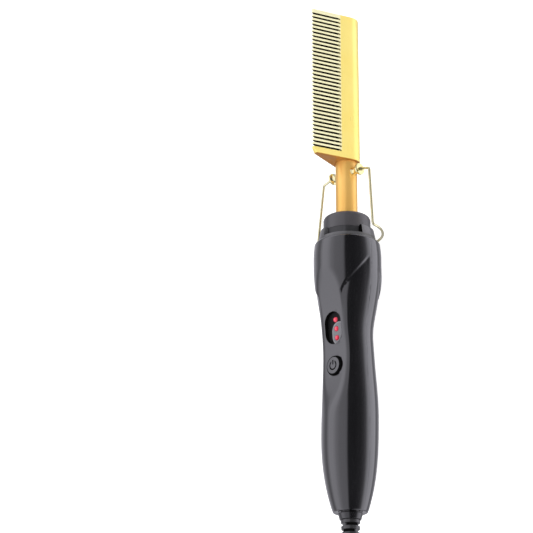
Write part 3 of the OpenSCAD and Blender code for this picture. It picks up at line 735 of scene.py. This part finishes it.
def mould_handle(shell):
    """Presses the crease, the scooped face and the sway into the turned shell."""
    for v in shell.data.vertices:
        x, y, z = (v.co - at(0)) * 1000
        r, a = hypot(y, z), atan2(y, z)
        if x < 0.9 or x > HANDLE - 1.9:
            continue
        inner = r < handle_r(x) - 1.2
        r -= crease(x, abs(abs(degrees(a)) - 90), z < 0)
        y, z = r * sin(a), r * cos(a)
        z = soft_min(z, front_z(x) - (WALL if inner else 0.0), 1.6)
        fade = eased((x - 1) / 14) * eased((HANDLE - 2 - x) / 10)
        v.co = at(x, y, z - sway(x) * fade)


def handle_profile():
    """Tail face, outside, shoulder, spigot for the collar, and back along the inside."""
    bulb = [118 + i / 2 for i in range(56)]
    outside = [2, 3.2, 5, 7, *range(10, 118, 3), *bulb, 148, 150, 151.2]
    inside = [*range(148, 59, -8), 50, 40, 30, 20, 12, 6, 2.7]
    mouth_r, spigot_r, bore_r, ledge, round_r = 5.48, 11.9, 10.05, 149.2, 1.7
    mouth = (2.7, mouth_r)
    profile = [mouth, (0, mouth_r), (0, 8.7)] + arc(0.8, 8.75, 0.8, 180, 100, 5)
    profile += [(x, handle_r(x)) for x in outside]
    profile += arc(HANDLE - round_r, handle_r(151.5) - round_r, round_r, 88, 0, 7)
    profile += [(HANDLE, spigot_r), (CAP_FOOT, spigot_r), (CAP_FOOT, bore_r), (ledge, bore_r),
                (ledge, handle_r(148) - 2.1)]
    return profile + [(x, handle_r(x) - WALL) for x in inside] + [mouth]


def slotted(x, length, width, low, high):
    """A block with round ends, long along the tool, between two heights."""
    piece = circle(40, width / 2, at(x, 0, low), (0, 0, 0))
    for v in piece.data.vertices:
        v.co.x += (length - width) / 2000 * (1 if v.co.x > at(x).x else -1)
    edit(piece)
    bpy.ops.mesh.edge_face_add()
    draw_out(0, 0, high - low)
    in_mode("OBJECT")
    return outwards(piece)


def make_handle():
    whole = turned(handle_profile(), 168)
    mould_handle(whole)
    halves = []
    for keep_up in (True, False):
        half = whole.copy()
        half.data = whole.data.copy()
        bpy.context.scene.collection.objects.link(half)
        edit(half)
        bpy.ops.mesh.bisect(plane_co=at(0), plane_no=(0, 0, 1), use_fill=True,
                            clear_inner=keep_up, clear_outer=not keep_up)
        in_mode("OBJECT")
        halves.append(outwards(half))
    bpy.data.objects.remove(whole)
    front, back = halves
    start = at(BUTTON_X, 0, 9)
    hole = turned([(-6, 0), (-6, BUTTON_HOLE_R), (12, BUTTON_HOLE_R), (12, 0)], 64, start)
    cut(front, stood_up(hole, start, (0, 0, 1)))
    cut(front, slotted(WINDOW_X, WINDOW_LENGTH, WINDOW_WIDTH, 4, 24))
    for x in SCREWS_X:
        start, well_r = at(x, 0, -9), 2.6
        well = turned([(-1, 0), (-1, well_r), (12, well_r), (12, 0)], 40, start)
        cut(back, stood_up(well, start, (0, 0, -1)))
    for half, name, node in ((front, "handle_front", "front_shell"),
                             (back, "handle_back", "rear_shell")):
        rounded(half, 0.14, 2, 60)
        dressed(smooth(half), name, "tool", "gloss_black", "black_plastic", node)

    # Painted shade: the walls of the button hole and the window are painted near-black for the
    # shadow inside them.
    def opening_wall(x, y, z, normal):
        straight, margin = (WINDOW_LENGTH - WINDOW_WIDTH) / 2, 0.1
        by_button = hypot(x - BUTTON_X, y) < BUTTON_HOLE_R + margin
        from_window = hypot(max(abs(x - WINDOW_X) - straight, 0), y)
        return (abs(normal.z) < 0.5 and z > 3
                and (by_button or from_window < WINDOW_WIDTH / 2 + margin))

    paint(front, "pit_black", opening_wall)


make_handle()


# ---- Button with its power symbol ----
def make_button():
    top, deep = front_z(BUTTON_X) + 1.0, 0.35
    centre = at(BUTTON_X, 0, top)
    profile = [(-4.6, 0), (-4.6, 6.3), (-3.8, 6.3), (-3.8, 5.4), (-3.4, 5.4)]
    profile += arc(-0.75, 4.65, 0.75, 90, 8, 6)
    profile += [(0.0, 4.6), (0.05, 3.6), (0.1, 2.0), (0.1, 0)]
    button = stood_up(turned(profile, 80, centre), centre, (0, 0, 1))
    rounded(button, 0.08, 1, 60)
    inner_r, outer_r = 1.95, 2.75
    ring = [(-deep, inner_r), (0.6, inner_r), (0.6, outer_r), (-deep, outer_r), (-deep, inner_r)]
    sign = stood_up(turned(ring, 64, centre), centre, (0, 0, 1))
    cut(sign, block((BUTTON_X + 0.2, -1.25, top - 2), (BUTTON_X + 4, 1.25, top + 2)))
    bar = block((BUTTON_X + 0.4, -0.42, top - deep), (BUTTON_X + 3.0, 0.42, top + 0.6))
    for tool in (sign, bar):
        cut(button, tool)
    dressed(smooth(button), "power_key", "button", "button_black", "button_plastic",
            "power_button")
    # Painted shade: the symbol's groove floors and the margin round the button's rim are painted
    # near-black, for the shadow in the grooves and in the gap round the button.
    paint(button, "symbol_black",
          lambda x, y, z, _: z < top - 0.03 and hypot(x - BUTTON_X, y) < 3.2)
    paint(button, "pit_black", lambda x, y, z, _: hypot(x - BUTTON_X, y) > 4.62)


make_button()


# ---- Collar, neck, bosses and stand ----
def wedge(piece, start, end):
    """Shapes a box into a sector about the tool's axis, from start to end in radians."""
    reach, middle = 30, (start + end) / 2
    for v in piece.data.vertices:
        x, y, z = (v.co - at(0)) * 1000
        far_y, far_z = y < -10, z > 10
        if far_y or far_z:
            a = start if not far_y else end if not far_z else middle
            far = reach * (1.35 if far_y and far_z else 1)
            y, z = -far * sin(a), far * cos(a)
        else:
            y, z = 0, 0
        v.co = at(x, y, z)
    return outwards(piece)


def make_collar():
    """The cap, and its base ring with two lock recesses that end in a stop slit."""
    cap = [(CAP_FOOT + 0.05, 10.1), (CAP_FOOT + 0.05, CAP_R - 0.25), (CAP_FOOT + 0.3, CAP_R)]
    cap += [(162, CAP_R), (164, CAP_R)] + arc(CAP_TOP - 2.6, CAP_R - 2.6, 2.6, 88, 2, 10)
    cap += [(CAP_TOP, 9), (CAP_TOP, 6.8), (CAP_TOP - 0.3, 6.5), (165.2, 6.5), (165.2, 10.1)]
    cap.append(cap[0])
    dressed(smooth(turned(cap, 128)), "collar_top", "tool", "collar_black", "black_plastic",
            "collar_cap")
    ring = [(HANDLE + 0.05, 12.0), (HANDLE + 0.05, 15.9)]
    ring += arc(HANDLE + 0.45, 15.9, 0.4, 180, 80, 4)
    ring += [(155, 16.15), (158, 15.55), (160.1, 15.13)] + arc(160.3, 14.8, 0.3, 70, 0, 3)
    ring += [(160.6, 13.37), (CAP_FOOT, 13.37), (CAP_FOOT, 12.0), ring[0]]
    base = turned(ring, 160)
    lock_x, lock_end, lock_r, lock_from, lock_to = HANDLE + 2.1, 163, 13.25, -9.0, 75.0
    for side in (0, 180):
        recess = turned([(lock_x, lock_r), (lock_end, lock_r), (lock_end, 18), (lock_x, 18),
                         (lock_x, lock_r)], 160)
        sector = wedge(block((HANDLE, -20, 0), (170, 0, 20)), radians(lock_from + side),
                       radians(lock_to + side))
        cut(base, cut(recess, sector, "INTERSECT"))
        cut(base, rolled(block((lock_x, -0.8, 12.4), (lock_end, 0.0, 19)), lock_to + side))
    rounded(base, 0.15, 2, 50)
    dressed(smooth(base), "collar_ring", "tool", "ring_black", "black_plastic", "collar_base")
    # Painted shade: the lock recess floors get a darker black than the ring, and the stop slits
    # are painted near-black.
    paint(base, "recess_black", lambda x, y, z, _: x > lock_x + 0.1 and 13.0 < hypot(y, z) < 13.3)
    paint(base, "pit_black", lambda x, y, z, _: x > lock_x + 0.2 and hypot(y, z) < 14.7
          and lock_to - 0.2 < degrees(atan2(-y, z)) % 180 < lock_to + 4.5)


make_collar()


def make_neck():
    mouth = (NECK_START, NECK_BORE_R)
    outside = [(x, NECK_R) for x in (*range(NECK_START, 201, 10), NECK_END)]
    pipe = [mouth, *outside, (NECK_END, NECK_BORE_R), mouth]
    dressed(smooth(turned(pipe)), "neck_pipe", "tool", "gold_neck", "neck_gold", "neck_tube")


make_neck()


def make_bosses():
    """Two ears on the neck: a stem, a dished rim and the hole that the wire turns in."""
    shape = [(5.75, 0), (5.75, 2.6), (6.3, 2.4), (6.9, 2.15), (8.7, 2.1), (9.3, 2.5), (9.8, 3.1)]
    shape += arc(10.15, 3.1, 0.3, 140, 90, 2) + arc(10.95, 3.05, 0.35, 90, 10, 4)
    shape += [(11.3, 1.3), (11.1, 0.95), (7.4, 0.82), (7.4, 0)]
    pair = [stood_up(turned(shape, 48, at(PIVOT)), at(PIVOT), (0, side, 0)) for side in (-1, 1)]
    dressed(smooth(joined(pair)), "stand_ears", "tool", "gold_boss", "boss_steel",
            "stand_bosses")


make_bosses()


def filleted(points, radius, count=6):
    """Points of a bent wire: each inner corner is rounded with the radius."""
    path = [points[0]]
    for a, b, c in zip(points, points[1:], points[2:]):
        into, out = (b - a).normalized(), (c - b).normalized()
        half = acos(max(-1, min(1, into.dot(out)))) / 2
        if half < 0.02:
            path.append(b)
            continue
        reach = min(radius * tan(half), 0.49 * (b - a).length, 0.49 * (c - b).length)
        bend = reach / tan(half)
        centre = b + (out - into).normalized() * (bend / cos(half))
        first = b - into * reach - centre
        turn_about = into.cross(out).normalized()
        for i in range(count + 1):
            path.append(centre + Matrix.Rotation(2 * half * i / count, 3, turn_about) @ first)
    path.append(points[-1])
    return path


def make_stand():
    """One bent wire: pin, knee, leg, foot arc and back again."""
    lean, drop, half, depth, wire_r, bend_r = radians(2.4), 36.8, 22.0, 20.8, 0.75, 1.4
    foot_r = (half ** 2 + depth ** 2) / (2 * depth)
    turn = asin(half / foot_r)
    flat = [(0, 7.6, 0), (0, 12.3, 0), (-1.7, 18.4, 0), (-drop, half, 0)]
    count, foot = 30, []
    for i in range(2, count - 1):
        a = turn - 2 * turn * i / count
        foot.append((-drop, foot_r * sin(a), foot_r - depth - foot_r * cos(a)))
    back = [(x, -y, z) for x, y, z in reversed(flat)]
    path = filleted([Vector(p) for p in flat + foot + back], bend_r)
    leaned = [(PIVOT + p.x * cos(lean) + p.z * sin(lean), p.y, -p.x * sin(lean) + p.z * cos(lean))
              for p in path]
    only(tube("wire", leaned, wire_r, 5, "POLY"))
    bpy.ops.object.convert(target="MESH")
    wire = outwards(bpy.context.object, 0.000001)
    dressed(smooth(wire, 50), "stand_wire", "stand", "gold_wire", "stand_steel", "wire_stand")


make_stand()


# ---- Comb head ----
def make_comb():
    """A round spine whose flat sides taper to the teeth, slotted, chamfered and bored."""
    spine, reach, edge = 7.9, 26.2, 0.7
    slots, slot_w, slot_deep, pitch, last_slot = 35, 1.16, 17.3, 2.43, COMB_END - 3.58
    tangent = atan2(edge, reach) + acos(spine / hypot(reach, edge))
    comb = circle(96, spine, at(COMB))
    edit_points(comb, lambda v: v.co.z > at(0, 0, spine * cos(tangent) + 0.02).z)
    bpy.ops.mesh.delete(type="VERT")
    in_mode("OBJECT")
    ends = [v.index for v in sorted(comb.data.vertices, key=lambda v: -v.co.z)[:2]]
    edit_points(comb, lambda v: v.index in ends)
    bpy.ops.mesh.extrude_vertices_move(TRANSFORM_OT_translate={"value": mm(0, 0, 20)})
    in_mode("OBJECT")
    for v in comb.data.vertices:
        if v.select:
            v.co = at(COMB, edge if v.co.y > 0 else -edge, reach)
    in_mode("EDIT")
    bpy.ops.mesh.edge_face_add()
    bpy.ops.mesh.select_all(action="SELECT")
    bpy.ops.mesh.edge_face_add()
    draw_out(COMB_END - COMB)
    in_mode("OBJECT")
    outwards(comb)
    tools = []
    for k in range(slots):
        x = last_slot - k * pitch
        tools.append(block((x, -9, reach - slot_deep), (x + slot_w, 9, reach + 3)))
    cut(comb, joined(tools))
    edit(comb)
    bpy.ops.mesh.bisect(plane_co=at(COMB + 2.4, 0, reach), plane_no=(-1, 0, 1), use_fill=True,
                        clear_outer=True)
    in_mode("OBJECT")
    bore_r = NECK_R + 0.05
    cut(comb, turned([(COMB - 1, 0), (COMB - 1, bore_r), (NECK_END, bore_r), (NECK_END, 0)], 64))
    outwards(comb)
    rounded(comb, 0.26, 3, 35)
    dressed(smooth(comb, 32), "comb_body", "tool", "gold_comb", "gold_plate", "comb_head")

    # Painted shade: the slot walls and slot bottoms are painted dark for the shadow inside the
    # slots.
    def slot_side(x, _, z, normal):
        wall = abs(normal.x) > 0.97 and z > reach - 17.5 and COMB + 2.5 < x < COMB_END - 1
        return wall or normal.z > 0.97 and z < reach - 16.9

    paint(comb, "slot_dark", slot_side)


make_comb()


# ---- Swivel ring and ribbed sleeve ----
def make_swivel():
    ring = [(-3.8, 0), (-3.8, 5.6)] + arc(-3.5, 5.6, 0.3, 180, 110, 3) + [(-2.0, 6.25)]
    ring += arc(-0.7, 6.35, 0.35, 110, 0, 4) + [(-0.3, 5.4), (2.8, 5.4), (2.8, 7.4), (4.6, 7.4)]
    ring += [(4.6, 3.2), (14, 3.2), (14, 0)]
    dressed(smooth(turned(ring)), "swivel_ring", "swivel", "swivel_black", "black_rubber",
            "swivel_body")
    start, length, pitch, rib, ribs = -3.8, 28.2, 3.4, 2.0, 8
    bore_r, core_r, web_half = 3.05, 3.7, 0.9

    def rib_r(x):
        return 5.25 - 1.25 * (start - x) / length

    sleeve, webs = [(start, bore_r), (start, 4.0)], []
    for k in range(ribs):
        x1 = start - 0.05 - k * pitch
        x0 = max(x1 - rib, start - length)
        r1, r0 = rib_r(x1), rib_r(x0)
        sleeve += [(x1, r1 - 0.3), (x1 - 0.15, r1 - 0.06), (x1 - 0.4, r1), (x0 + 0.4, r0),
                   (x0 + 0.15, r0 - 0.06), (x0, r0 - 0.3), (x0, core_r)]
        if k < ribs - 1:
            gap = x0 - (pitch - rib)
            sleeve.append((gap, core_r))
            for turn in (0, 180):
                web = block((gap - 0.2, -web_half, 3.4), (x0 + 0.2, web_half, r0 - 0.25))
                webs.append(rolled(web, turn + 90 * (k % 2)))
    sleeve += [(start - length, 3.6), (start - length, bore_r), sleeve[0]]
    body = joined([turned(sleeve, 72)] + webs)
    dressed(smooth(body), "ribbed_sleeve", "swivel", "relief_rubber", "black_rubber",
            "strain_relief")
    # Painted shade: the core between the ribs is painted near-black for the shadow in the gaps.
    paint(body, "pit_black", lambda x, y, z, _: core_r - 0.08 < hypot(y, z) < core_r + 0.08)


make_swivel()


# ---- Floor, surroundings and lamps ----
WHITE = (1, 1, 1, 1)
# What the tool mirrors, as (degrees, level) round its axis: 0 is level towards the camera and 90
# is straight up. A dark room lies behind the camera, a white sweep overhead and a table below.
STUDIO = [(-179, 0.5), (-165, 0.6), (-150, 0.5), (-125, 0.35), (-100, 0.38), (-92, 0.34),
          (-84, 0.34), (-79, 0.7), (-75, 1.15), (-71, 1.2), (-50, 1.38), (-34, 1.08),
          (-27, 0.62), (-20, 0.28), (-9, 0.13), (3, 0.06), (27, 0.03), (50, 0.04), (54, 0.25),
          (57, 0.55), (64, 0.66), (85, 0.7), (100, 0.88), (110, 1.1), (118, 1.22), (134, 1.15),
          (143, 0.85), (150, 0.5), (157, 0.36), (166, 0.42), (179, 0.5)]


def studio_floor():
    """A white floor that keeps the shadow, and that the tool doesn't mirror."""
    nothing_selected()
    bpy.ops.mesh.primitive_plane_add(size=24, location=(0, 0, -0.0003))
    floor = bpy.context.object
    floor.name = "floor"
    material = bpy.data.materials.new("floor_white")
    material.use_nodes = True
    tree = Nodes(material.node_tree)
    tree.tree.nodes.remove(tree.tree.nodes["Principled BSDF"])
    matte = tree.node("BsdfDiffuse", {}, (0.8, 0.8, 0.8, 1))
    lit = tree.node("AddShader", {}, matte, tree.node("Emission", {}, WHITE, 0.7))
    tree.end("Material", tree.swap("Is Camera Ray", matte, lit))
    floor.data.materials.append(material)
    floor.visible_glossy = False


def surroundings():
    """White to the camera, even light on matte things, and the studio in what mirrors."""
    world = bpy.data.worlds.new("studio")
    bpy.context.scene.world = world
    world.use_nodes = True
    tree = Nodes(world.node_tree)
    spot = tree.node("TexCoord", {})
    y, z = (tree.node("SeparateXYZ", {}, spot, out=axis) for axis in "YZ")
    angle = z.maths("ARCTAN2", z, y * -1.0)
    ramp = tree.node("ValToRGB", {}, tree.node("MapRange", {}, angle, -pi, pi, 0.0, 1.0))
    colours = ramp.socket.node.color_ramp
    colours.interpolation = "EASE"
    stops = colours.elements
    while len(stops) > 1:
        stops.remove(stops[0])
    for degree, level in STUDIO:
        stop = stops.new(0.5 + degree / 360)
        stop.color = (level, 0.985 * level, 1.08 * level, 1)
    stops.remove(stops[-1])
    shaped, even, white = (tree.node("Background", {}, colour, strength)
                           for colour, strength in ((ramp, 1.0), (WHITE, 0.75), (WHITE, 1.0)))
    lit = tree.swap("Is Glossy Ray", even, shaped)
    tree.end("World", tree.swap("Is Camera Ray", lit, white))


def softbox(name, target, direction, distance, width, height, power):
    """A rectangular lamp, in metres and watts, that nothing mirrors."""
    lamp = bpy.data.lights.new(name, "AREA")
    lamp.shape = "RECTANGLE"
    lamp.size, lamp.size_y = width, height
    lamp.energy = power
    box = bpy.data.objects.new(name, lamp)
    away = Vector(direction).normalized()
    facing = away.to_track_quat("Z", "X").to_matrix().to_4x4()
    box.matrix_world = Matrix.Translation(target + away * distance) @ facing
    box.visible_glossy = False
    bpy.context.scene.collection.objects.link(box)


studio_floor()
surroundings()
softbox("overhead", at(140), (0.33, 0.25, 0.95), 1.3, 0.9, 1.4, 5)
softbox("camera_side", at(200), (-0.3, -0.9, 0.3), 1.2, 0.8, 0.8, 10)

bpy.context.scene.view_settings.view_transform = "Standard"
